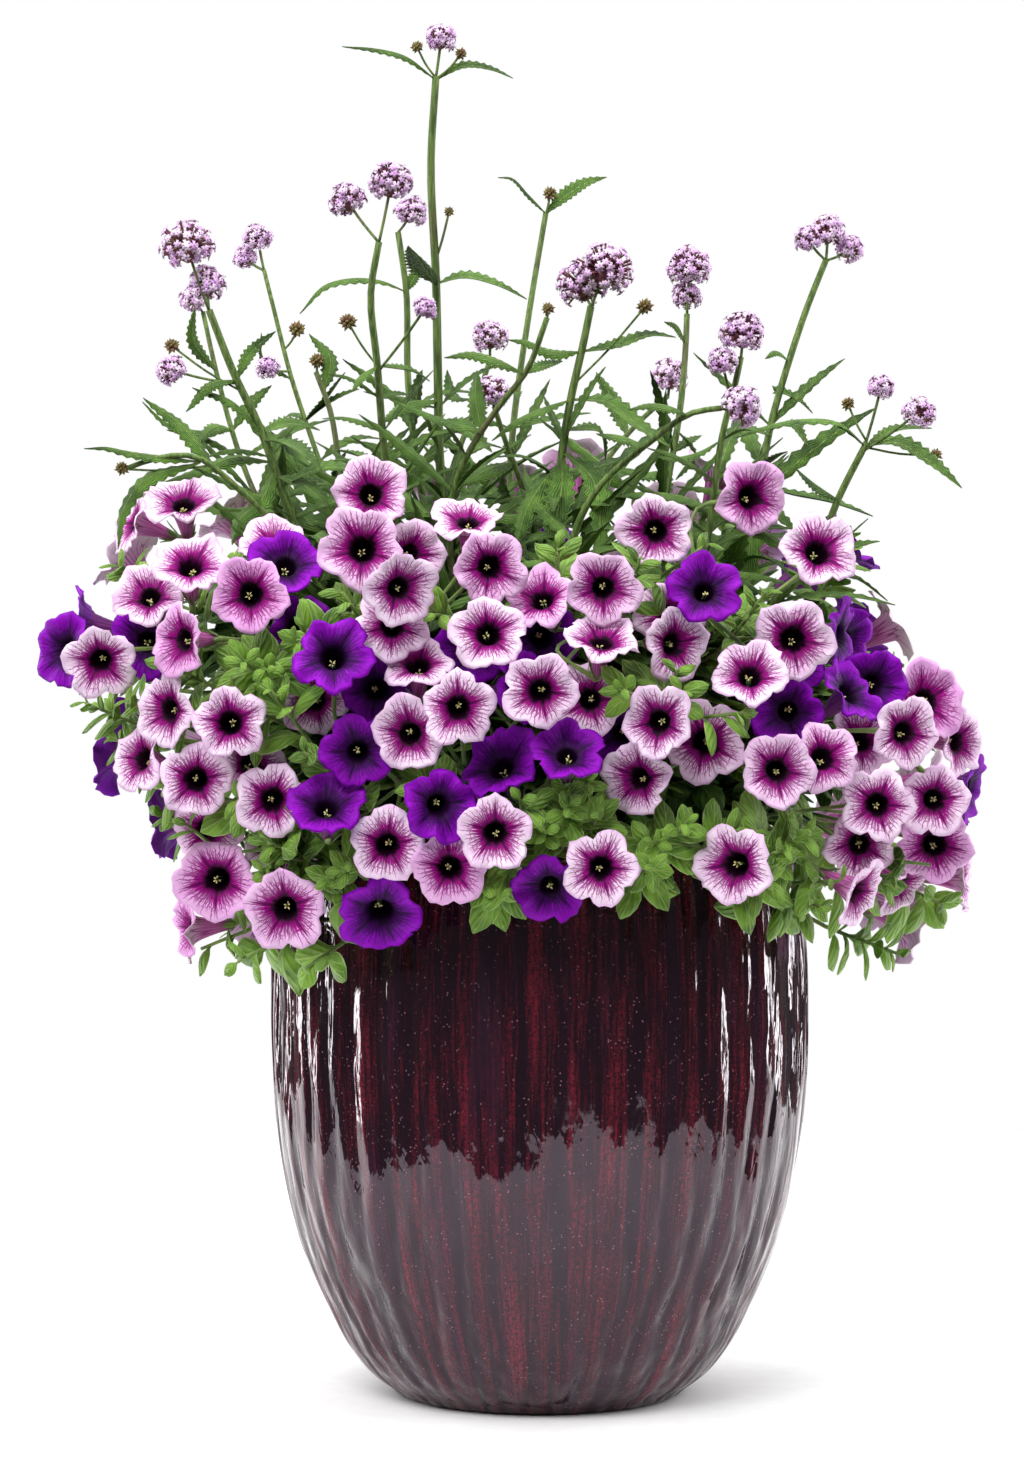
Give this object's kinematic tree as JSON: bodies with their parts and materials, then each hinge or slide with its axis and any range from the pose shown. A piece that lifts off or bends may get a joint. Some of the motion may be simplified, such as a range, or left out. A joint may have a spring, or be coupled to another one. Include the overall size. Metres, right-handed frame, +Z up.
{
  "type": "potted petunia",
  "caption": "Mixed planting in a tall ribbed glazed pot: a broad mound of two-coloured petunias with tall slender verbena stems rising out of the middle.",
  "frame": {"origin": "centre of the pot's underside, on the floor", "axes": "+Z up the pot's axis, -Y towards the side that the picture shows, +X to the right in the picture"},
  "size_m": [0.6601, 0.5482, 0.9525],
  "materials": {
    "glaze": "glossy dark oxblood glaze with red streaks",
    "soil": "loose dark potting compost",
    "leaf": "soft matte green leaf",
    "pink_petal": "thin soft petal, pale pink with dark magenta veins",
    "violet_petal": "thin velvety petal, deep violet",
    "verbena_stem": "rough matte green stem and leaf",
    "verbena_flower": "soft lavender florets"
  },
  "bodies": {
    "root": {"pot": "glaze", "violet_blooms_01": "violet_petal", "violet_blooms_02": "violet_petal", "violet_blooms_03": "violet_petal", "violet_blooms_04": "violet_petal", "violet_blooms_05": "violet_petal", "violet_blooms_06": "violet_petal", "violet_blooms_07": "violet_petal", "violet_blooms_08": "violet_petal", "pink_blooms_01": "pink_petal", "pink_blooms_02": "pink_petal", "pink_blooms_03": "pink_petal", "pink_blooms_04": "pink_petal", "pink_blooms_05": "pink_petal", "pink_blooms_06": "pink_petal", "pink_blooms_07": "pink_petal", "pink_blooms_08": "pink_petal", "pink_blooms_09": "pink_petal", "pink_blooms_10": "pink_petal", "pink_blooms_11": "pink_petal", "pink_blooms_12": "pink_petal", "pink_blooms_13": "pink_petal", "pink_blooms_14": "pink_petal", "pink_blooms_15": "pink_petal", "pink_blooms_16": "pink_petal", "pink_blooms_17": "pink_petal", "pink_blooms_18": "pink_petal", "pink_blooms_19": "pink_petal", "pink_blooms_20": "pink_petal", "soil": "soil", "petunia_plant_1": "leaf", "petunia_plant_2": "leaf", "petunia_plant_3": "leaf", "petunia_plant_4": "leaf", "petunia_plant_5": "leaf", "petunia_plant_6": "leaf", "verbena_plant_1": "verbena_stem", "verbena_plant_2": "verbena_stem", "verbena_plant_3": "verbena_stem", "verbena_heads_01": "verbena_flower", "verbena_heads_02": "verbena_flower", "verbena_heads_03": "verbena_flower", "verbena_heads_04": "verbena_flower", "verbena_heads_05": "verbena_flower", "verbena_heads_06": "verbena_flower", "verbena_heads_07": "verbena_flower", "verbena_heads_08": "verbena_flower", "verbena_heads_09": "verbena_flower", "verbena_heads_10": "verbena_flower", "verbena_heads_11": "verbena_flower", "verbena_heads_12": "verbena_flower", "verbena_heads_13": "verbena_flower", "verbena_heads_14": "verbena_flower", "verbena_heads_15": "verbena_flower", "verbena_heads_16": "verbena_flower", "verbena_heads_17": "verbena_flower", "verbena_heads_18": "verbena_flower", "verbena_heads_19": "verbena_flower", "verbena_heads_20": "verbena_flower"}
  },
  "joints": []
}
